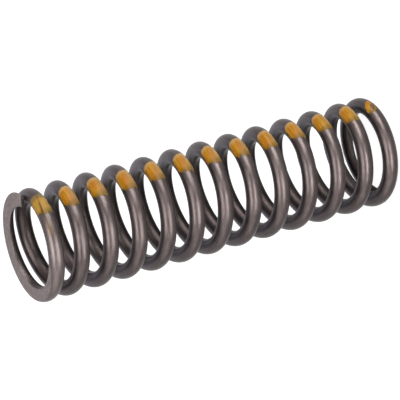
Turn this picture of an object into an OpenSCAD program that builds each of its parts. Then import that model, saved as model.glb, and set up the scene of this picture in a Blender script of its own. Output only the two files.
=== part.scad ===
// Helical compression spring for an engine valve, wound from round wire.
// Both end coils close towards their neighbours and are ground flat, so it stands on its end.
// The axis is Z, and the origin is the centre of the lower ground face.

/* [Wire] */
// Diameter of the round wire
wire_d = 3.5; // [2.8:0.1:4.2]

/* [Coil] */
// Outside diameter of the coil
outer_d = 25; // [21:0.5:32]
// Free length between the two ground faces
free_length = 88; // [80:1:110]
// Number of coils from one wire tip to the other
total_coils = 13.54; // [11:0.01:15]
// Pitch that each coil gains on the one above it
pitch_growth = 0.03; // [0:0.01:0.05]
// Which way the wire turns as it climbs
winding = "left"; // [left, right]

/* [Lower end] */
// Gap between the lower tip and the coil that it closes onto
lower_tip_gap = 0.4; // [0.2:0.1:1]
// Coils from the lower tip that keep the closed pitch
lower_closed_coils = 0.7; // [0.2:0.05:0.9]
// Coils over which the pitch then opens to its full value
lower_opening_coils = 0.6; // [0.4:0.1:2]

/* [Upper end] */
// Gap between the upper tip and the coil that it closes onto
upper_tip_gap = 0.3; // [0.2:0.1:1]
// Coils from the upper tip that keep the closed pitch
upper_closed_coils = 0.7; // [0.2:0.05:0.9]
// Coils over which the pitch then opens to its full value
upper_opening_coils = 0.6; // [0.4:0.1:2]

/* [Ground faces] */
// Thickness of wire left at each tip after grinding
tip_thickness = 0.9; // [0.6:0.1:1.6]

/* [Smoothness] */
// Sections along each coil
sections_per_coil = 28; // [20:4:28]
// Sides of the wire's round section
wire_sides = 14; // [8:2:14]

/* [Hidden] */

wire_r = wire_d / 2;
mean_r = (outer_d - wire_d) / 2;
turn_sense = winding == "left" ? -1 : 1;
section_count = ceil(total_coils * sections_per_coil);

// How far the wire's centre lies beyond the ground face at a tip
tip_sink = wire_r - tip_thickness;
climb = free_length + 2 * tip_sink;

// Height that the growing pitch adds to the wire's centre, none of it at the tips
function growth_rise(coils) = pitch_growth * coils * (total_coils - coils) / 2;

// An end is its step from the tip to the next coil, its closed coils and its opening coils.
// The growing pitch lengthens the lower step and shortens the upper one, so they start without it
lower_end = [wire_d + lower_tip_gap - growth_rise(1), lower_closed_coils, lower_opening_coils];
upper_end = [wire_d + upper_tip_gap + growth_rise(1), upper_closed_coils, upper_opening_coils];

function first_step(end) = end[0];
function closed_coils(end) = end[1];
function opening_coils(end) = end[2];

// Coils' worth of full opening that the wire has gained, some coils from its tip
function opened(coils, end) =
    let (past = max(0, coils - closed_coils(end)), width = opening_coils(end))
    past < width ? past * past / (2 * width) : past - width / 2;

// Coils that an end takes from the active ones, were they all one first step apart
function dead_coils(end) = (closed_coils(end) + opening_coils(end) / 2) / (1 - opened(1, end));
function dead_length(end) = dead_coils(end) * first_step(end);

active_coils = total_coils - dead_coils(lower_end) - dead_coils(upper_end);
active_pitch = (climb - dead_length(lower_end) - dead_length(upper_end)) / active_coils;

// Pitch at a tip before growth, so slow that the next coil passes the tip at the first step
function closed_pitch(end) =
    let (share = opened(1, end))
    (first_step(end) - active_pitch * share) / (1 - share);

// Pitch some coils from a tip, before growth
function pitch_from(coils, end) =
    let (slow = closed_pitch(end), share = max(0, coils - closed_coils(end)) / opening_coils(end))
    slow + (active_pitch - slow) * min(1, share);

// Height that the wire gains some coils from its tip, before growth
function climbed(coils, end) =
    let (slow = closed_pitch(end))
    slow * coils + (active_pitch - slow) * opened(coils, end);

// Height of the wire's centre, and its pitch there, counted in coils from the lower tip
function centre_z(coils) =
    growth_rise(coils) + (coils < total_coils / 2
        ? climbed(coils, lower_end) - tip_sink
        : free_length + tip_sink - climbed(total_coils - coils, upper_end));
function pitch_at(coils) =
    pitch_growth * (total_coils / 2 - coils) + (coils < total_coils / 2
        ? pitch_from(coils, lower_end)
        : pitch_from(total_coils - coils, upper_end));

// A section in the plane of the axis is taller than the wire, because the wire climbs through it
function section_rise(coils) = wire_r * sqrt(1 + pow(pitch_at(coils) / (2 * PI * mean_r), 2));

function section(coils) =
    let (turn = turn_sense * 360 * coils, rise = section_rise(coils), z = centre_z(coils))
    [for (side = [0 : wire_sides - 1])
        let (a = turn_sense * 360 * side / wire_sides, r = mean_r + wire_r * cos(a))
        [r * cos(turn), r * sin(turn), z + rise * sin(a)]];

// The wire as it is wound, round from tip to tip
module wound_wire() {
    points = [for (i = [0 : section_count]) each section(total_coils * i / section_count)];
    skin = [for (i = [0 : section_count - 1], j = [0 : wire_sides - 1])
        let (k = (j + 1) % wire_sides, a = i * wire_sides, b = a + wire_sides)
        each [[a + j, b + j, b + k], [a + j, b + k, a + k]]];
    lower_tip = [for (j = [0 : wire_sides - 1]) j];
    upper_tip = [for (j = [wire_sides - 1 : -1 : 0]) section_count * wire_sides + j];
    polyhedron(points = points, faces = concat([lower_tip], skin, [upper_tip]));
}

// What grinding leaves: everything between the two end faces
module ground_span() {
    cylinder(d = outer_d + 2 * wire_d, h = free_length, $fn = 64);
}

module valve_spring() {
    color("dimgray")
        intersection() {
            wound_wire();
            ground_span();
        }
}

valve_spring();
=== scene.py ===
"""Looks of a valve spring: one drawn wire, wound left-hand, ground at both ends and marked with paint."""

import logging
import math
from dataclasses import dataclass
from enum import Enum
from functools import reduce
from typing import Any, Optional, Union

import bmesh
import bpy
from bmesh.types import BMEdge, BMesh, BMVert
from mathutils import Matrix, Vector

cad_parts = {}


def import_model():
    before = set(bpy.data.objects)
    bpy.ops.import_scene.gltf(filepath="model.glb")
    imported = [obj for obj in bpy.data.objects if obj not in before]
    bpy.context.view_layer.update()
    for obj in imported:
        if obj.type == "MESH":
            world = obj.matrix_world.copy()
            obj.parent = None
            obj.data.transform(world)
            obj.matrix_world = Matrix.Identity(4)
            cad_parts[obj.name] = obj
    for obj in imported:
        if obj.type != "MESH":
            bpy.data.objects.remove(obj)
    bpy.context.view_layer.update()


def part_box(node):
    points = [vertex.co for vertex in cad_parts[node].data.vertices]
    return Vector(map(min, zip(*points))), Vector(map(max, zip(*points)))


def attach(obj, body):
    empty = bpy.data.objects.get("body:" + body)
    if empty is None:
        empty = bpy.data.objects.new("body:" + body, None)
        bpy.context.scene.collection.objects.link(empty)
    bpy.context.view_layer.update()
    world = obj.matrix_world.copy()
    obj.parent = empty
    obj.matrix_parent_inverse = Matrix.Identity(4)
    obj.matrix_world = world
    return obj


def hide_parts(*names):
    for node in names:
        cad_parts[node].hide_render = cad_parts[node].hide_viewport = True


LOG = logging.getLogger("valve_spring")

BODY = "root"
SPRING_NODE = "valve_spring"

MM = 0.001
FULL_TURN = 2.0 * math.pi
SAME_MARK = 0.25
WIRE_PLACE = "wire_place"
UNROLLED_MAP = "OFBake"

Colour = tuple[float, float, float]
Socket = bpy.types.NodeSocket
Input = Union[Socket, float]


class Winding(Enum):
    """Which way the wire turns as it climbs, seen from above."""

    LEFT = -1
    RIGHT = 1


class WireSurface(Enum):
    """The two finishes on the wire, by their place in the mesh's list of materials."""

    DRAWN = 0
    GROUND = 1


@dataclass(frozen=True)
class Ease:
    """A smooth change of a result, from where it is least to where it is most."""

    least_at: float
    most_at: float
    most: float = 1.0
    least: float = 0.0


@dataclass(frozen=True)
class Oval:
    """An oval on the wire's skin, given along the wire in millimetres and round it in degrees."""

    middle: tuple[float, float]
    halves: tuple[float, float]


@dataclass(frozen=True)
class Chance:
    """A value that differs from one paint mark to the next."""

    seed: float
    least: float
    spread: float


@dataclass(frozen=True)
class Grain:
    """A noise on the wire, in blotches to a millimetre across and along it."""

    across: float
    along: float
    detail: float = 3.0
    roughness: float = 0.5


def linear(red: int, green: int, blue: int) -> Colour:
    """Turns a colour as a screen shows it into the linear one that a shader takes.

    Args:
        red: Red from 0 to 255.
        green: Green from 0 to 255.
        blue: Blue from 0 to 255.

    Returns:
        The colour's linear red, green and blue, from 0 to 1.
    """
    shown = (value / 255.0 for value in (red, green, blue))
    return tuple(v / 12.92 if v <= 0.04045 else ((v + 0.055) / 1.055) ** 2.4 for v in shown)


def direction(azimuth: float, elevation: float) -> Vector:
    """Gives the unit vector towards an azimuth and elevation in degrees."""
    a, e = math.radians(azimuth), math.radians(elevation)
    return Vector((math.cos(e) * math.cos(a), math.cos(e) * math.sin(a), math.sin(e)))


class FinishTree:
    """A material's node tree, with a short call for each kind of node that the finishes use."""

    def __init__(self, name: str) -> None:
        """Starts a new material.

        Args:
            name: The material's name.
        """
        self.material = bpy.data.materials.new(name)
        self.material.use_nodes = True
        self.nodes = self.material.node_tree.nodes
        self.links = self.material.node_tree.links
        self.shader = self.nodes["Principled BSDF"]

    def put(self, socket: Socket, value: Any) -> None:
        """Links a socket to another node's output, or sets it to a plain value.

        Args:
            socket: The input that is fed.
            value: The output that feeds it, or its plain value.
        """
        if isinstance(value, Socket):
            self.links.new(value, socket)
        else:
            socket.default_value = value

    def set(self, name: str, value: Any) -> None:
        """Sets or links one of the shader's own sockets."""
        self.put(self.shader.inputs[name], value)

    def maths(self, kind: str, *values: Input) -> Socket:
        """Adds a Math node.

        Args:
            kind: The node's operation, as Blender names it.
            values: Its inputs in order.

        Returns:
            The node's output.
        """
        node = self.nodes.new("ShaderNodeMath")
        node.operation = kind
        for socket, value in zip(node.inputs, values):
            self.put(socket, value)
        return node.outputs[0]

    def product(self, *values: Input) -> Socket:
        """Multiplies several values."""
        return reduce(lambda left, right: self.maths("MULTIPLY", left, right), values)

    def weighed(self, *parts: tuple[Socket, float]) -> Socket:
        """Adds up several values, each times its weight.

        Args:
            parts: The values with their weights.

        Returns:
            The sum.
        """
        total: Input = 0.0
        for value, weight in parts:
            total = self.maths("MULTIPLY_ADD", value, weight, total)
        return total

    def swayed(self, value: Input, noise: Socket, reach: float) -> Socket:
        """Moves a value by a noise, up to half of the reach either way."""
        return self.maths("MULTIPLY_ADD", self.maths("SUBTRACT", noise, 0.5), reach, value)

    def left_of(self, cover: Socket, lost: Socket) -> Socket:
        """Gives what is left of a cover when a share of it is lost."""
        return self.product(cover, self.maths("SUBTRACT", 1.0, lost))

    def ease(self, value: Input, change: Ease) -> Socket:
        """Follows a smooth change over a value, and holds its result past both ends.

        Args:
            value: The value that the change is read at.
            change: The change.

        Returns:
            The change's result.
        """
        node = self.nodes.new("ShaderNodeMapRange")
        node.interpolation_type = "SMOOTHSTEP"
        ends = (change.least_at, change.most_at, change.least, change.most)
        for socket, number in zip(node.inputs, (value, *ends)):
            self.put(socket, number)
        return node.outputs[0]

    def off_oval(self, along: Input, across: Input, oval: Oval) -> Socket:
        """Measures how far a place lies from the middle of an oval.

        Args:
            along: The place along the wire.
            across: The place round the wire.
            oval: The oval.

        Returns:
            The square of the distance, 1 on the oval's edge.
        """
        places = zip((along, across), oval.middle, oval.halves)
        ahead, aside = (self.maths("DIVIDE", self.maths("SUBTRACT", at, middle), half)
                        for at, middle, half in places)
        return self.maths("MULTIPLY_ADD", ahead, ahead, self.product(aside, aside))

    def join(self, x: Input, y: Input, z: Input) -> Socket:
        """Joins three numbers into a vector.

        Args:
            x: The first number.
            y: The second number.
            z: The third number.

        Returns:
            The vector.
        """
        node = self.nodes.new("ShaderNodeCombineXYZ")
        for socket, value in zip(node.inputs, (x, y, z)):
            self.put(socket, value)
        return node.outputs[0]

    def noise(self, place: Socket, scale: float, detail: float, roughness: float) -> Socket:
        """Adds a noise of about 0 to 1 over a place.

        Args:
            place: The vector that the noise is read at.
            scale: Blotches to a unit of place.
            detail: Finer layers added.
            roughness: How strong those are.

        Returns:
            The noise's height.
        """
        node = self.nodes.new("ShaderNodeTexNoise")
        self.put(node.inputs["Vector"], place)
        node.inputs["Scale"].default_value = scale
        node.inputs["Detail"].default_value = detail
        node.inputs["Roughness"].default_value = roughness
        return node.outputs[0]

    def pick(self, number: Socket, chance: Chance) -> Socket:
        """Picks a fixed value by chance for each whole number.

        Args:
            number: The number.
            chance: What is picked from.

        Returns:
            The value for that number.
        """
        node = self.nodes.new("ShaderNodeTexWhiteNoise")
        node.noise_dimensions = "1D"
        self.put(node.inputs["W"], self.maths("ADD", number, chance.seed))
        return self.maths("MULTIPLY_ADD", node.outputs["Value"], chance.spread, chance.least)

    def tint(self, share: Input, below: Any, above: Any) -> Socket:
        """Mixes two colours.

        Args:
            share: How much of the second colour shows.
            below: The first colour, or an output that carries it.
            above: The second colour, or an output that carries it.

        Returns:
            The mixed colour.
        """
        node = self.nodes.new("ShaderNodeMix")
        node.data_type = "RGBA"
        self.put(node.inputs[0], share)
        for socket, colour in ((node.inputs[6], below), (node.inputs[7], above)):
            self.put(socket, (*colour, 1.0) if isinstance(colour, tuple) else colour)
        return node.outputs[2]

    def bump(self, height: Socket, depth: float, under: Optional[Socket] = None) -> Socket:
        """Raises the surface by a pattern.

        Args:
            height: The pattern, from 0 to 1.
            depth: How far 1 stands above 0, in millimetres.
            under: The bump that this one lies on.

        Returns:
            The bumped normal.
        """
        node = self.nodes.new("ShaderNodeBump")
        node.inputs["Distance"].default_value = depth * MM
        self.put(node.inputs["Height"], height)
        if under is not None:
            self.put(node.inputs["Normal"], under)
        return node.outputs[0]


class WirePlace:
    """A place on the wire as if it were straight, read from the mesh. Lengths are in millimetres."""

    def __init__(self, tree: FinishTree, coil_length: float) -> None:
        """Reads the place and works out what the finishes need from it.

        Args:
            tree: The finish's node tree.
            coil_length: Wire to a coil, along its centre line.
        """
        self.tree = tree
        read = tree.nodes.new("ShaderNodeAttribute")
        read.attribute_name = WIRE_PLACE
        parts = tree.nodes.new("ShaderNodeSeparateXYZ")
        tree.put(parts.inputs[0], read.outputs["Vector"])
        self.outward, self.upward, self.along = parts.outputs
        self.coils = tree.maths("DIVIDE", self.along, coil_length)
        self.side = tree.maths("DEGREES", tree.maths("ARCTAN2", self.upward, self.outward))

    def noise(self, grain: Grain) -> Socket:
        """Adds a noise that follows the wire.

        Args:
            grain: The noise's size and detail.

        Returns:
            The noise's height.
        """
        scales = (grain.across, grain.across, grain.along)
        parts = zip((self.outward, self.upward, self.along), scales)
        place = self.tree.join(*(self.tree.product(part, scale) for part, scale in parts))
        return self.tree.noise(place, 1.0, grain.detail, grain.roughness)


@dataclass(frozen=True)
class MarkSpot:
    """A place on the wire as its nearest paint mark sees it.

    It holds the mark's number from the bottom, how far past the mark's middle the place is along the wire,
    its side of the wire, how far round it is from the mark's middle, and the brush's two noises there.
    """

    number: Socket
    past: Socket
    side: Socket
    round_by: Socket
    bristles: Socket
    ragged: Socket

    def on_mark(self, tree: FinishTree, number: int) -> Socket:
        """Gives 1 at the mark of this number, and 0 at the others."""
        return tree.maths("COMPARE", self.number, float(number), SAME_MARK)


@dataclass(frozen=True)
class PaintCover:
    """Where paint lies on the wire, from 0 to 1, and its colour there."""

    cover: Socket
    colour: Socket


@dataclass(frozen=True)
class TopMarkWear:
    """The wear of the top coil's mark: faded, washed out at its top, scratched through and smeared below.

    Lengths are in millimetres, sides in degrees, and a slant is in degrees to a millimetre.
    """

    number: int = 12
    washed: Ease = Ease(-1.0, -1.8, 0.55)
    smear: Oval = Oval((5.4, 32.0), (2.2, 28.0))
    smear_edge: Ease = Ease(1.0, 0.1, 0.09)
    straw: Colour = linear(216, 176, 78)
    straw_share: float = 0.55
    umber: Colour = linear(116, 78, 22)
    scratch_side: float = 24.0
    scratch_slant: float = -5.0
    scratch_edge: Ease = Ease(10.0, 3.0)
    scratch_depth: Ease = Ease(-0.8, 0.3, 1.0, 0.45)

    def cover(self, tree: FinishTree, spot: MarkSpot, mark: Socket) -> Socket:
        """Washes out the top of the mark and adds a faint smear below it.

        Args:
            tree: The wire finish's node tree.
            spot: The place at its nearest mark.
            mark: The marks' cover so far.

        Returns:
            The cover with this wear.
        """
        here = spot.on_mark(tree, self.number)
        washed = tree.product(tree.ease(spot.past, self.washed), here)
        off_smear = tree.off_oval(spot.past, spot.side, self.smear)
        smear = tree.product(tree.ease(off_smear, self.smear_edge), here)
        return tree.maths("MAXIMUM", tree.left_of(mark, washed), smear)

    def fade(self, tree: FinishTree, spot: MarkSpot, body: Socket) -> Socket:
        """Fades the mark's colour to straw."""
        share = tree.product(spot.on_mark(tree, self.number), self.straw_share)
        return tree.tint(share, body, self.straw)

    def scratch(self, tree: FinishTree, spot: MarkSpot, body: Socket) -> Socket:
        """Draws a dark scratch down the mark.

        Args:
            tree: The wire finish's node tree.
            spot: The place at its nearest mark.
            body: The paint's colour so far.

        Returns:
            The colour with the scratch.
        """
        line = tree.maths("MULTIPLY_ADD", spot.past, self.scratch_slant, spot.side)
        off_line = tree.maths("ABSOLUTE", tree.maths("SUBTRACT", line, self.scratch_side))
        edge = tree.ease(off_line, self.scratch_edge)
        depth = tree.ease(spot.past, self.scratch_depth)
        share = tree.product(edge, depth, spot.on_mark(tree, self.number))
        return tree.tint(share, body, self.umber)


@dataclass(frozen=True)
class BottomMarkWear:
    """The wear of the bottom coil's mark: a patch is rubbed bare, and a hook of paint is left round it.

    Lengths are in millimetres, sides in degrees, and the slant is in degrees to a millimetre.
    """

    number: int = 0
    fray: float = 12.0
    slant: float = -11.0
    outline: Oval = Oval((0.6, 0.0), (2.05, 50.0))
    outline_edge: Ease = Ease(0.85, 1.15)
    patch: Oval = Oval((1.0, -6.0), (0.95, 19.0))
    patch_edge: Ease = Ease(1.25, 0.7)
    patch_depth: Ease = Ease(-6.0, 8.0, 0.95, 0.75)
    bare_side: Ease = Ease(-6.0, -26.0)

    def cover(self, tree: FinishTree, spot: MarkSpot, mark: Socket) -> Socket:
        """Rubs the mark down to its hook.

        Args:
            tree: The wire finish's node tree.
            spot: The place at its nearest mark.
            mark: The marks' cover so far.

        Returns:
            The cover with this wear.
        """
        frayed = tree.swayed(spot.side, spot.ragged, self.fray)
        slanted = tree.maths("MULTIPLY_ADD", spot.past, self.slant, frayed)
        patch = tree.ease(tree.off_oval(spot.past, slanted, self.patch), self.patch_edge)
        rubbed = tree.product(patch, tree.ease(slanted, self.patch_depth))
        outside = tree.ease(tree.off_oval(spot.past, slanted, self.outline), self.outline_edge)
        lost = tree.maths("MAXIMUM", rubbed, outside)
        lost = tree.maths("MAXIMUM", lost, tree.ease(frayed, self.bare_side))
        return tree.left_of(mark, tree.product(lost, spot.on_mark(tree, self.number)))


@dataclass(frozen=True)
class PaintLine:
    """A line of brushed paint marks down one side of the coils.

    Lengths are in millimetres and sides in degrees. The first mark's place and the drift are in coils.
    """

    first_mark: float = 0.596
    drift: float = 0.0016
    shift: Chance = Chance(3.7, -0.37, 0.5)
    lowest_shift: Ease = Ease(2.0, 0.0)
    lean: Chance = Chance(8.2, -3.0, 14.0)
    half_length: float = 2.65
    half_wrap: float = 84.0
    corner: float = 4.0
    bristles: Grain = Grain(2.6, 0.18)
    ragged: Grain = Grain(1.5, 1.5)
    drag: float = 1.8
    dragged_foot: Ease = Ease(-0.5, 1.5)
    short_side: float = 0.009
    edge_fray: float = 0.3
    edge: Ease = Ease(1.10, 0.90)
    orange: Colour = linear(212, 131, 6)
    amber: Colour = linear(227, 168, 39)
    # Tan serves two uses: the colour of thin paint at a mark's top, and a painted sheen down its lower
    # side.
    thin_paint_and_sheen_tan: Colour = linear(222, 184, 126)
    olive: Colour = linear(140, 112, 30)
    streaks: Ease = Ease(0.42, 0.62)
    thin_fray: float = 0.8
    thin_top: Ease = Ease(-0.9, -1.9, 0.75)
    thin_foot: Ease = Ease(1.3, 2.6, 0.65)
    side_fray: float = 40.0
    # Painted sheen: how far tan is mixed down the lower side of each mark, standing in for a lamp's
    # highlight.
    painted_sheen_side: Ease = Ease(32.0, -6.0, 0.65)
    top_wear: TopMarkWear = TopMarkWear()
    bottom_wear: BottomMarkWear = BottomMarkWear()
    roughness: float = 0.42
    gloss: float = 0.12
    film: float = 0.008

    def paint(self, tree: FinishTree, place: WirePlace, coil_length: float) -> PaintCover:
        """Works out where the paint lies and what colour it has there.

        Args:
            tree: The wire finish's node tree.
            place: The place on the wire.
            coil_length: Wire to a coil, along its centre line.

        Returns:
            The paint's cover and colour.
        """
        spot = self._nearest_mark(tree, place, coil_length)
        mark = self._outline(tree, spot)
        mark = self.top_wear.cover(tree, spot, mark)
        mark = self.bottom_wear.cover(tree, spot, mark)
        return PaintCover(mark, self._colour(tree, spot))

    def _nearest_mark(self, tree: FinishTree, place: WirePlace, coil_length: float) -> MarkSpot:
        """Finds the mark that a place is nearest to, one to a coil.

        Args:
            tree: The wire finish's node tree.
            place: The place on the wire.
            coil_length: Wire to a coil, along its centre line.

        Returns:
            The place as that mark sees it.
        """
        run = tree.maths("MULTIPLY_ADD", place.coils, 1.0 - self.drift, -self.first_mark)
        number = tree.maths("ROUND", run)
        shift = tree.maths("ADD", tree.pick(number, self.shift), tree.ease(number, self.lowest_shift))
        past = tree.maths("MULTIPLY_ADD", tree.maths("SUBTRACT", run, number), coil_length, shift)
        round_by = tree.maths("SUBTRACT", place.side, tree.pick(number, self.lean))
        noises = (place.noise(grain) for grain in (self.bristles, self.ragged))
        return MarkSpot(number, past, place.side, round_by, *noises)

    def _outline(self, tree: FinishTree, spot: MarkSpot) -> Socket:
        """Gives the marks their outline: a rounded patch whose foot is dragged out by the brush.

        Args:
            tree: The wire finish's node tree.
            spot: The place at its nearest mark.

        Returns:
            The cover of unworn marks.
        """
        short_side = tree.product(tree.maths("MAXIMUM", spot.round_by, 0.0), self.short_side)
        dragged = tree.swayed(short_side, spot.bristles, self.drag)
        reach = tree.maths("MULTIPLY_ADD", dragged, tree.ease(spot.past, self.dragged_foot), spot.past)
        along = self._cornered(tree, reach, self.half_length)
        across = self._cornered(tree, spot.round_by, self.half_wrap)
        rim = tree.maths("POWER", tree.maths("ADD", along, across), 1.0 / self.corner)
        return tree.ease(tree.swayed(rim, spot.ragged, self.edge_fray), self.edge)

    def _cornered(self, tree: FinishTree, distance: Socket, half: float) -> Socket:
        """Raises a distance's share of a half size to the power that rounds the corners."""
        share = tree.maths("DIVIDE", tree.maths("ABSOLUTE", distance), half)
        return tree.maths("POWER", share, self.corner)

    def _colour(self, tree: FinishTree, spot: MarkSpot) -> Socket:
        """Streaks the paint, thins it at the top and at the foot, and paints a pale sheen down one side.

        Args:
            tree: The wire finish's node tree.
            spot: The place at its nearest mark.

        Returns:
            The paint's colour.
        """
        frayed_past = tree.maths("MULTIPLY_ADD", spot.ragged, self.thin_fray, spot.past)
        frayed_side = tree.maths("MULTIPLY_ADD", spot.bristles, self.side_fray, spot.side)
        body = tree.tint(tree.ease(spot.bristles, self.streaks), self.orange, self.amber)
        body = tree.tint(tree.ease(frayed_past, self.thin_top), body, self.thin_paint_and_sheen_tan)
        # Painted sheen: tan down the lower side of the mark stands in for a highlight on the paint.
        body = tree.tint(tree.ease(frayed_side, self.painted_sheen_side), body, self.thin_paint_and_sheen_tan)
        body = self.top_wear.fade(tree, spot, body)
        body = tree.tint(tree.ease(frayed_past, self.thin_foot), body, self.olive)
        return self.top_wear.scratch(tree, spot, body)


@dataclass(frozen=True)
class DrawnWire:
    """The finish of oil-tempered wire: dark, satin, with fine lines from the drawing die.

    Lengths are in millimetres, sides in degrees, and the paler end is placed in coils from the lower tip.
    """

    coil_length: float
    marks: PaintLine = PaintLine()
    lines: Grain = Grain(5.0, 0.05, 4.0, 0.6)
    scale: Grain = Grain(0.35, 0.35, 4.0)
    flecks: Grain = Grain(2.2, 0.7, 3.0, 0.7)
    grain: Grain = Grain(9.0, 9.0, 2.0)
    line_weight: float = 0.4
    scale_weight: float = 0.3
    fleck_weight: float = 0.5
    dull_weight: float = 0.5
    dark: Colour = (0.044, 0.035, 0.034)
    light: Colour = (0.078, 0.063, 0.061)
    tones: Ease = Ease(0.42, 0.78)
    # Painted shade: a darker steel on the wire's inner side, standing in for the shade that the coils cast
    # on each other.
    painted_inner_shade: Colour = (0.022, 0.017, 0.016)
    inner_shade_share: Ease = Ease(100.0, 135.0, 0.5)
    # A lighter steel mixed in over the last part of the upper end coil, from 12.6 to 12.88 coils from the
    # lower tip.
    paler_end_steel: Colour = (0.165, 0.137, 0.133)
    paler_end: Ease = Ease(12.6, 12.88, 0.3)
    roughness: Ease = Ease(0.3, 0.7, 0.45, 0.37)
    bare_metal: Ease = Ease(0.3, 0.0)
    line_depth: float = 0.004
    grain_depth: float = 0.002

    def material(self) -> bpy.types.Material:
        """Makes the material for the wire's round surface, paint marks included.

        Returns:
            The material.
        """
        tree = FinishTree("drawn_wire")
        place = WirePlace(tree, self.coil_length)
        lines = place.noise(self.lines)
        scale = place.noise(self.scale)
        flecks = place.noise(self.flecks)
        grain = place.noise(self.grain)

        tone = tree.weighed((scale, self.scale_weight), (lines, self.line_weight),
                            (flecks, self.fleck_weight))
        steel = tree.tint(tree.ease(tone, self.tones), self.dark, self.light)
        # Painted shade: the steel darkens towards the side that faces the axis, where the coils shade each
        # other.
        inner_shade_share = tree.ease(tree.maths("ABSOLUTE", place.side), self.inner_shade_share)
        steel = tree.tint(inner_shade_share, steel, self.painted_inner_shade)
        # The steel turns lighter towards the upper end coil.
        steel = tree.tint(tree.ease(place.coils, self.paler_end), steel, self.paler_end_steel)
        dull = tree.weighed((scale, self.dull_weight), (grain, self.dull_weight))
        roughness = tree.ease(dull, self.roughness)

        paint = self.marks.paint(tree, place, self.coil_length)
        gap = tree.maths("SUBTRACT", self.marks.roughness, roughness)
        tree.set("Base Color", tree.tint(paint.cover, steel, paint.colour))
        tree.set("Metallic", tree.ease(paint.cover, self.bare_metal))
        tree.set("Specular IOR Level", self.marks.gloss)
        tree.set("Roughness", tree.maths("MULTIPLY_ADD", gap, paint.cover, roughness))
        relief = tree.bump(lines, self.line_depth)
        relief = tree.bump(grain, self.grain_depth, relief)
        tree.set("Normal", tree.bump(paint.cover, self.marks.film, relief))
        return tree.material


@dataclass(frozen=True)
class GroundSteel:
    """The finish of the ground end faces: bare and matte, with fine lines from the wheel.

    Scales are to a metre, the lines' turn is in degrees, and their depth is in millimetres.
    """

    dark: Colour = (0.086, 0.070, 0.061)
    light: Colour = (0.192, 0.158, 0.141)
    tones: Ease = Ease(0.38, 0.62)
    line_turn: float = 28.0
    line_scales: tuple[float, float, float] = (900.0, 6000.0, 900.0)
    line_roughness: float = 0.5
    line_weight: float = 0.4
    line_depth: float = 0.005
    speck_scale: float = 2200.0
    speck_roughness: float = 0.65
    speck_weight: float = 0.6
    detail: float = 3.0
    roughness: Ease = Ease(0.3, 0.7, 0.61, 0.49)

    def material(self) -> bpy.types.Material:
        """Makes the material for the two end faces.

        Returns:
            The material.
        """
        tree = FinishTree("ground_end")
        read = tree.nodes.new("ShaderNodeTexCoord")
        stretch = tree.nodes.new("ShaderNodeMapping")
        stretch.inputs["Rotation"].default_value = (0.0, 0.0, math.radians(self.line_turn))
        stretch.inputs["Scale"].default_value = self.line_scales
        tree.put(stretch.inputs["Vector"], read.outputs["Object"])
        lines = tree.noise(stretch.outputs[0], 1.0, self.detail, self.line_roughness)
        specks = tree.noise(read.outputs["Object"], self.speck_scale, self.detail, self.speck_roughness)
        tone = tree.weighed((specks, self.speck_weight), (lines, self.line_weight))
        tree.set("Base Color", tree.tint(tree.ease(tone, self.tones), self.dark, self.light))
        tree.set("Metallic", 1.0)
        tree.set("Roughness", tree.ease(specks, self.roughness))
        tree.set("Normal", tree.bump(lines, self.line_depth))
        return tree.material


@dataclass(frozen=True)
class ClosedEnd:
    """One end of the spring, where the pitch slows so that the tip lies near the next coil.

    The gap is in millimetres, and the rest is in coils from the tip.
    """

    tip_gap: float
    closed_coils: float
    opening_coils: float

    def opened(self, coils: float) -> float:
        """Gives the coils' worth of full opening that the wire has gained on its way from the tip.

        Args:
            coils: Coils from the tip.

        Returns:
            The opening gained.
        """
        past = max(0.0, coils - self.closed_coils)
        if past < self.opening_coils:
            return past * past / (2.0 * self.opening_coils)
        return past - self.opening_coils / 2.0

    def dead_coils(self) -> float:
        """Gives the coils that this end takes from the active ones, were they one first step apart."""
        return (self.closed_coils + self.opening_coils / 2.0) / (1.0 - self.opened(1.0))


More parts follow.
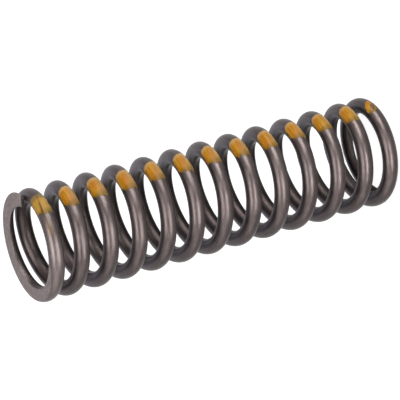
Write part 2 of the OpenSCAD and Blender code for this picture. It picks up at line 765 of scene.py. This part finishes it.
@dataclass
class SpringCoil:
    """The spring itself: one wire from tip to tip. Lengths are in millimetres."""

    outer_d: float
    free_length: float
    wire_d: float = 3.5
    total_coils: float = 13.54
    pitch_growth: float = 0.03
    winding: Winding = Winding.LEFT
    tip_thickness: float = 0.9
    lower_end: ClosedEnd = ClosedEnd(0.4, 0.7, 0.6)
    upper_end: ClosedEnd = ClosedEnd(0.3, 0.7, 0.6)
    wire_sides: int = 32
    rings_per_coil: int = 96
    weld: float = 0.0005
    rim_weld: float = 0.02
    edge_break: float = 0.07
    sharp_angle: float = math.radians(30.0)
    strip_margin: float = 0.01
    strip_gap: float = 0.02

    def __post_init__(self) -> None:
        """Works out the sizes that follow from the others."""
        self.wire_r = self.wire_d / 2.0
        self.mean_r = (self.outer_d - self.wire_d) / 2.0
        self.coil_length = FULL_TURN * self.mean_r
        self.tip_sink = self.wire_r - self.tip_thickness
        ends = (self.lower_end, self.upper_end)
        dead_length = sum(end.dead_coils() * self.first_step(end) for end in ends)
        active_coils = self.total_coils - sum(end.dead_coils() for end in ends)
        self.active_pitch = (self.free_length + 2.0 * self.tip_sink - dead_length) / active_coils

    def growth_rise(self, coils: float) -> float:
        """Gives the height that the growing pitch adds to the wire's centre, none of it at the tips."""
        return self.pitch_growth * coils * (self.total_coils - coils) / 2.0

    def first_step(self, end: ClosedEnd) -> float:
        """Gives the step from a tip to the next coil, before the growing pitch changes it."""
        change = self.growth_rise(1.0)
        return self.wire_d + end.tip_gap + (-change if end is self.lower_end else change)

    def closed_pitch(self, end: ClosedEnd) -> float:
        """Gives the pitch at a tip before growth, so slow that the next coil passes the tip at its gap."""
        share = end.opened(1.0)
        return (self.first_step(end) - self.active_pitch * share) / (1.0 - share)

    def climbed(self, coils: float, end: ClosedEnd) -> float:
        """Gives the height that the wire gains some coils from a tip, before growth."""
        slow = self.closed_pitch(end)
        return slow * coils + (self.active_pitch - slow) * end.opened(coils)

    def centre_height(self, coils: float) -> float:
        """Gives the height of the wire's centre.

        Args:
            coils: Coils from the lower tip.

        Returns:
            The height above the lower ground face.
        """
        grown = self.growth_rise(coils)
        if coils < self.total_coils / 2.0:
            return grown + self.climbed(coils, self.lower_end) - self.tip_sink
        left = self.total_coils - coils
        return grown + self.free_length + self.tip_sink - self.climbed(left, self.upper_end)

    def section_rise(self, coils: float) -> float:
        """Gives how much taller than wide the wire is in the plane of the axis, as it climbs through it.

        Args:
            coils: Coils from the lower tip.

        Returns:
            The section's height as a share of its width.
        """
        step = 1.0 / self.rings_per_coil
        low, high = max(0.0, coils - step), min(self.total_coils, coils + step)
        pitch = (self.centre_height(high) - self.centre_height(low)) / (high - low)
        return math.sqrt(1.0 + (pitch / self.coil_length) ** 2)

    def build(self) -> bpy.types.Object:
        """Makes the spring's mesh and object.

        Returns:
            The spring, at the origin and in metres, with its finishes still to come.
        """
        bm = bmesh.new()
        self._wind(bm)
        self._grind(bm)
        self._break_edges(bm)
        self._lay_out(bm)
        bmesh.ops.scale(bm, vec=(MM, MM, MM), verts=bm.verts)
        mesh = bpy.data.meshes.new("spring_coil")
        bm.to_mesh(mesh)
        bm.free()
        piece = bpy.data.objects.new("spring_coil", mesh)
        bpy.context.scene.collection.objects.link(piece)
        return piece

    def _wind(self, bm: BMesh) -> None:
        """Winds the round wire from the lower tip to the upper one, a coil at a time.

        Args:
            bm: The empty bmesh that takes the wire.
        """
        for coil in range(math.ceil(self.total_coils)):
            turns = min(1.0, self.total_coils - coil)
            wound = self._wind_coil(float(coil), turns)
            bm.from_mesh(wound)
            bpy.data.meshes.remove(wound)
        bmesh.ops.remove_doubles(bm, verts=bm.verts, dist=self.weld)
        tips = [edge for edge in bm.edges if edge.is_boundary]
        bmesh.ops.holes_fill(bm, edges=tips, sides=0)

    def _wind_coil(self, first: float, turns: float) -> bpy.types.Mesh:
        """Spins a ring once round the axis, climbing as it goes.

        Args:
            first: Where on the wire it starts, in coils from the lower tip.
            turns: How far round it goes, in coils.

        Returns:
            That stretch of the wire, open at both ends.
        """
        bm = bmesh.new()
        place = bm.verts.layers.float_vector.new(WIRE_PLACE)
        ring = self._start_ring(bm, first)
        edges = bm.edges[:]
        self._note_place(ring, place, first)
        height = self.centre_height(first)
        rise = self.section_rise(first)
        count = round(turns * self.rings_per_coil)
        turn = self.winding.value * FULL_TURN * turns / count
        for step in range(1, count + 1):
            coils = first + turns * step / count
            climb = self.centre_height(coils) - height
            spun = bmesh.ops.spin(bm, geom=ring + edges, axis=(0.0, 0.0, 1.0), dvec=(0.0, 0.0, climb),
                                  angle=turn, steps=1, use_merge=False)["geom_last"]
            ring = [part for part in spun if isinstance(part, BMVert)]
            edges = [part for part in spun if isinstance(part, BMEdge)]
            height += climb
            stretch = self.section_rise(coils) / rise
            rise *= stretch
            about_centre = Matrix.Translation((0.0, 0.0, -height))
            bmesh.ops.scale(bm, vec=(1.0, 1.0, stretch), space=about_centre, verts=ring)
            self._note_place(ring, place, coils)
        wound = bpy.data.meshes.new("wound_coil")
        bm.to_mesh(wound)
        bm.free()
        return wound

    def _start_ring(self, bm: BMesh, coils: float) -> list[BMVert]:
        """Makes one section of the wire, in the plane of the axis.

        Args:
            bm: The bmesh that takes it.
            coils: How far along the wire it is.

        Returns:
            The section's vertices.
        """
        made = bmesh.ops.create_circle(bm, cap_ends=False, segments=self.wire_sides, radius=self.wire_r)
        ring = made["verts"]
        upright = Matrix.Rotation(math.pi / 2.0, 3, "X")
        heading = Matrix.Rotation(self.winding.value * FULL_TURN * coils, 3, "Z")
        bmesh.ops.rotate(bm, matrix=upright, verts=ring)
        bmesh.ops.scale(bm, vec=(1.0, 1.0, self.section_rise(coils)), verts=ring)
        bmesh.ops.translate(bm, vec=(self.mean_r, 0.0, self.centre_height(coils)), verts=ring)
        bmesh.ops.rotate(bm, matrix=heading, verts=ring)
        return ring

    def _note_place(self, ring: list[BMVert], place: Any, coils: float) -> None:
        """Notes on each vertex of a ring where it lies on the straight wire.

        Args:
            ring: The ring's vertices.
            place: The mesh layer that holds the place.
            coils: How far along the wire the ring is.
        """
        height = self.centre_height(coils)
        rise = self.section_rise(coils)
        for vert in ring:
            outward = math.hypot(vert.co.x, vert.co.y) - self.mean_r
            vert[place] = Vector((outward, (vert.co.z - height) / rise, coils * self.coil_length))

    def _grind(self, bm: BMesh) -> None:
        """Cuts both ends flat, closes them and gives their faces the ground finish.

        Args:
            bm: The bmesh with the wound wire.
        """
        for height, outward in ((0.0, -1.0), (self.free_length, 1.0)):
            everything = bm.verts[:] + bm.edges[:] + bm.faces[:]
            cut = bmesh.ops.bisect_plane(bm, geom=everything, dist=self.weld, plane_co=(0.0, 0.0, height),
                                         plane_no=(0.0, 0.0, outward), clear_outer=True)["geom_cut"]
            corners = [part for part in cut if isinstance(part, BMVert)]
            bmesh.ops.remove_doubles(bm, verts=corners, dist=self.rim_weld)
            rim = [edge for edge in bm.edges if edge.is_boundary]
            for face in bmesh.ops.edgeloop_fill(bm, edges=rim)["faces"]:
                face.material_index = WireSurface.GROUND.value
        bmesh.ops.recalc_face_normals(bm, faces=bm.faces)

    def _break_edges(self, bm: BMesh) -> None:
        """Takes the burr off the ground faces' and the tips' edges, and shades the wire smooth.

        Args:
            bm: The bmesh with the ground wire.
        """
        burrs = [edge for edge in bm.edges if edge.calc_face_angle(0.0) > self.sharp_angle]
        bmesh.ops.bevel(bm, geom=burrs, offset=self.edge_break, offset_type="OFFSET", affect="EDGES",
                        segments=2, profile=0.5, material=-1, clamp_overlap=True)
        for face in bm.faces:
            face.smooth = face.material_index == WireSurface.DRAWN.value

    def _lay_out(self, bm: BMesh) -> None:
        """Lays the wire's skin out as flat strips, one above the other, with a coil's length in each.

        Args:
            bm: The bmesh with the finished wire.
        """
        place = bm.verts.layers.float_vector[WIRE_PLACE]
        flat = bm.loops.layers.uv.new(UNROLLED_MAP)
        strips = math.ceil(self.total_coils)
        strip_length = 1.0 - 2.0 * self.strip_margin
        half_strip = 0.5 - self.strip_gap
        for face in bm.faces:
            places = [loop.vert[place] for loop in face.loops]
            middle = sum(places, Vector()) / len(places)
            coil = min(strips - 1, math.floor(middle.z / self.coil_length))
            seam = math.atan2(middle.y, middle.x) + math.pi
            for loop, spot in zip(face.loops, places):
                side = math.atan2(spot.y, spot.x)
                side = (side - seam + FULL_TURN) % FULL_TURN + seam - FULL_TURN
                along = self.strip_margin + strip_length * (spot.z / self.coil_length - coil)
                across = 0.5 + half_strip * side / math.pi
                loop[flat].uv = (along, (coil + across) / strips)

    def dress(self, piece: bpy.types.Object) -> None:
        """Gives the spring its finishes and its place in the frame.

        Args:
            piece: The spring's object.
        """
        finishes = {
            WireSurface.DRAWN: DrawnWire(self.coil_length),
            WireSurface.GROUND: GroundSteel(),
        }
        for surface in WireSurface:
            piece.data.materials.append(finishes[surface].material())
        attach(piece, BODY)
        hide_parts(SPRING_NODE)


@dataclass(frozen=True)
class LampStrip:
    """A long soft lamp that hangs between two directions from the spring. Sizes are in metres."""

    name: str
    start: tuple[float, float]
    end: tuple[float, float]
    width: float
    brightness: float
    lights_matte: bool = False
    colour: Colour = (1.0, 1.0, 1.0)
    distance: float = 0.9

    def hang(self, target: Vector) -> bpy.types.Object:
        """Puts the lamp up.

        Args:
            target: The point that it faces.

        Returns:
            The lamp's object.
        """
        start, end = (target + direction(*turn) * self.distance for turn in (self.start, self.end))
        middle = (start + end) / 2.0
        back = (middle - target).normalized()
        side = (end - start).normalized()
        lamp = bpy.data.lights.new(self.name, "AREA")
        lamp.shape = "RECTANGLE"
        lamp.size = (end - start).length
        lamp.size_y = self.width
        lamp.color = self.colour
        lamp.energy = self.brightness * math.pi * lamp.size * lamp.size_y
        hung = bpy.data.objects.new(self.name, lamp)
        axes = Matrix((side, back.cross(side), back)).transposed()
        hung.matrix_world = Matrix.Translation(middle) @ axes.to_4x4()
        hung.visible_diffuse = self.lights_matte
        hung.visible_camera = False
        bpy.context.scene.collection.objects.link(hung)
        return hung


def seen_directly(nodes: bpy.types.Nodes, links: bpy.types.NodeLinks) -> Socket:
    """Tells what is seen, also in metal and through glass, from what only gives light.

    Args:
        nodes: The tree's nodes.
        links: The tree's links.

    Returns:
        1 for camera, glossy and transmission rays, and 0 for the rest.
    """
    path = nodes.new("ShaderNodeLightPath")
    result = path.outputs["Is Camera Ray"]
    for kind in ("Is Glossy Ray", "Is Transmission Ray"):
        either = nodes.new("ShaderNodeMath")
        either.operation = "MAXIMUM"
        links.new(result, either.inputs[0])
        links.new(path.outputs[kind], either.inputs[1])
        result = either.outputs[0]
    return result


@dataclass(frozen=True)
class Studio:
    """The plain white surroundings: floor, world and lamps. Sizes are in metres."""

    floor_half: float = 3.0
    floor_cells: int = 8
    floor_glow: float = 0.93
    floor_colour: Colour = (0.5, 0.5, 0.5)
    shown_white: float = 1.0
    fill: float = 0.3
    lamps: tuple[LampStrip, ...] = (
        LampStrip("left_panel", (128.0, 51.0), (42.0, 55.0), 0.33, 10.5),
        LampStrip("right_panel", (100.0, 4.0), (48.0, 4.0), 0.24, 10.0),
        LampStrip("right_foot", (100.0, -6.5), (48.0, -6.5), 0.056, 14.5, distance=0.24),
        LampStrip("upper_panel", (182.0, 4.0), (130.0, 4.0), 0.21, 9.0),
        LampStrip("upper_head", (182.0, 15.0), (130.0, 15.0), 0.14, 9.0, lights_matte=True),
        LampStrip("upper_foot", (178.0, -6.5), (130.0, -6.5), 0.056, 14.0, distance=0.24),
        LampStrip("low_panel", (40.0, 22.0), (-12.0, 22.0), 0.66, 2.4),
        LampStrip("sky_panel", (-60.0, 24.0), (-135.0, 24.0), 0.55, 0.42, colour=(0.55, 0.5, 1.0)),
        LampStrip("key", (34.0, 70.0), (154.0, 70.0), 0.45, 4.0),
    )

    def build(self, target: Vector) -> None:
        """Sets up the floor, the world and the lamps.

        Args:
            target: The point that the lamps face.
        """
        self._lay_floor()
        self._fill_world()
        for lamp in self.lamps:
            lamp.hang(target)
            LOG.info("hung %s", lamp.name)

    def _lay_floor(self) -> bpy.types.Object:
        """Lays the floor under the spring.

        Returns:
            The floor's object.
        """
        bm = bmesh.new()
        cells = self.floor_cells
        bmesh.ops.create_grid(bm, x_segments=cells, y_segments=cells, size=self.floor_half)
        mesh = bpy.data.meshes.new("floor")
        bm.to_mesh(mesh)
        bm.free()
        floor = bpy.data.objects.new("floor", mesh)
        floor.data.materials.append(self._floor_paper())
        bpy.context.scene.collection.objects.link(floor)
        return floor

    def _floor_paper(self) -> bpy.types.Material:
        """Makes the floor's white paper, which looks white and still takes the spring's shadow.

        Returns:
            The material.
        """
        tree = FinishTree("white_paper")
        glow = tree.product(seen_directly(tree.nodes, tree.links), self.floor_glow)
        tree.set("Base Color", (*self.floor_colour, 1.0))
        tree.set("Roughness", 1.0)
        tree.set("Specular IOR Level", 0.0)
        tree.set("Emission Color", (1.0, 1.0, 1.0, 1.0))
        tree.set("Emission Strength", glow)
        return tree.material

    def _fill_world(self) -> None:
        """Makes the world white where it is seen, and a dim fill for the rest."""
        world = bpy.data.worlds.new("white_room")
        world.use_nodes = True
        nodes, links = world.node_tree.nodes, world.node_tree.links
        background = nodes["Background"]
        background.inputs["Color"].default_value = (1.0, 1.0, 1.0, 1.0)
        level = nodes.new("ShaderNodeMapRange")
        links.new(seen_directly(nodes, links), level.inputs[0])
        level.inputs[3].default_value = self.fill
        level.inputs[4].default_value = self.shown_white
        links.new(level.outputs[0], background.inputs["Strength"])
        bpy.context.scene.world = world


@dataclass(frozen=True)
class PhotoCamera:
    """The camera at the photograph's viewing angle. Angles are in degrees, lengths in metres."""

    azimuth: float = 94.47
    elevation: float = 24.60
    roll: float = -105.74
    distance: float = 0.6491
    aim: tuple[float, float, float] = (0.000262, -0.000530, 0.045202)
    lens: float = 262.07
    sensor: float = 36.0

    def place(self) -> None:
        """Puts the camera up and makes it the scene's own."""
        data = bpy.data.cameras.new("photo_camera")
        data.lens = self.lens
        data.sensor_width = self.sensor
        camera = bpy.data.objects.new("photo_camera", data)
        away = direction(self.azimuth, self.elevation)
        level = (-away).to_track_quat("-Z", "Y").to_matrix().to_4x4()
        roll = Matrix.Rotation(math.radians(self.roll), 4, "Z")
        camera.matrix_world = Matrix.Translation(Vector(self.aim) + away * self.distance) @ level @ roll
        bpy.context.scene.collection.objects.link(camera)
        bpy.context.scene.camera = camera


def main() -> None:
    """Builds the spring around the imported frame, then its surroundings and the camera."""
    logging.basicConfig(level=logging.INFO, format="%(name)s: %(message)s")
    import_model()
    bpy.context.scene.view_settings.view_transform = "Standard"

    low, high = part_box(SPRING_NODE)
    spring = SpringCoil(outer_d=(high[0] - low[0]) / MM, free_length=(high[2] - low[2]) / MM)
    piece = spring.build()
    spring.dress(piece)
    LOG.info("built %s, %d faces", piece.name, len(piece.data.polygons))

    camera = PhotoCamera()
    Studio().build(Vector(camera.aim))
    camera.place()


if __name__ == "__main__":
    main()
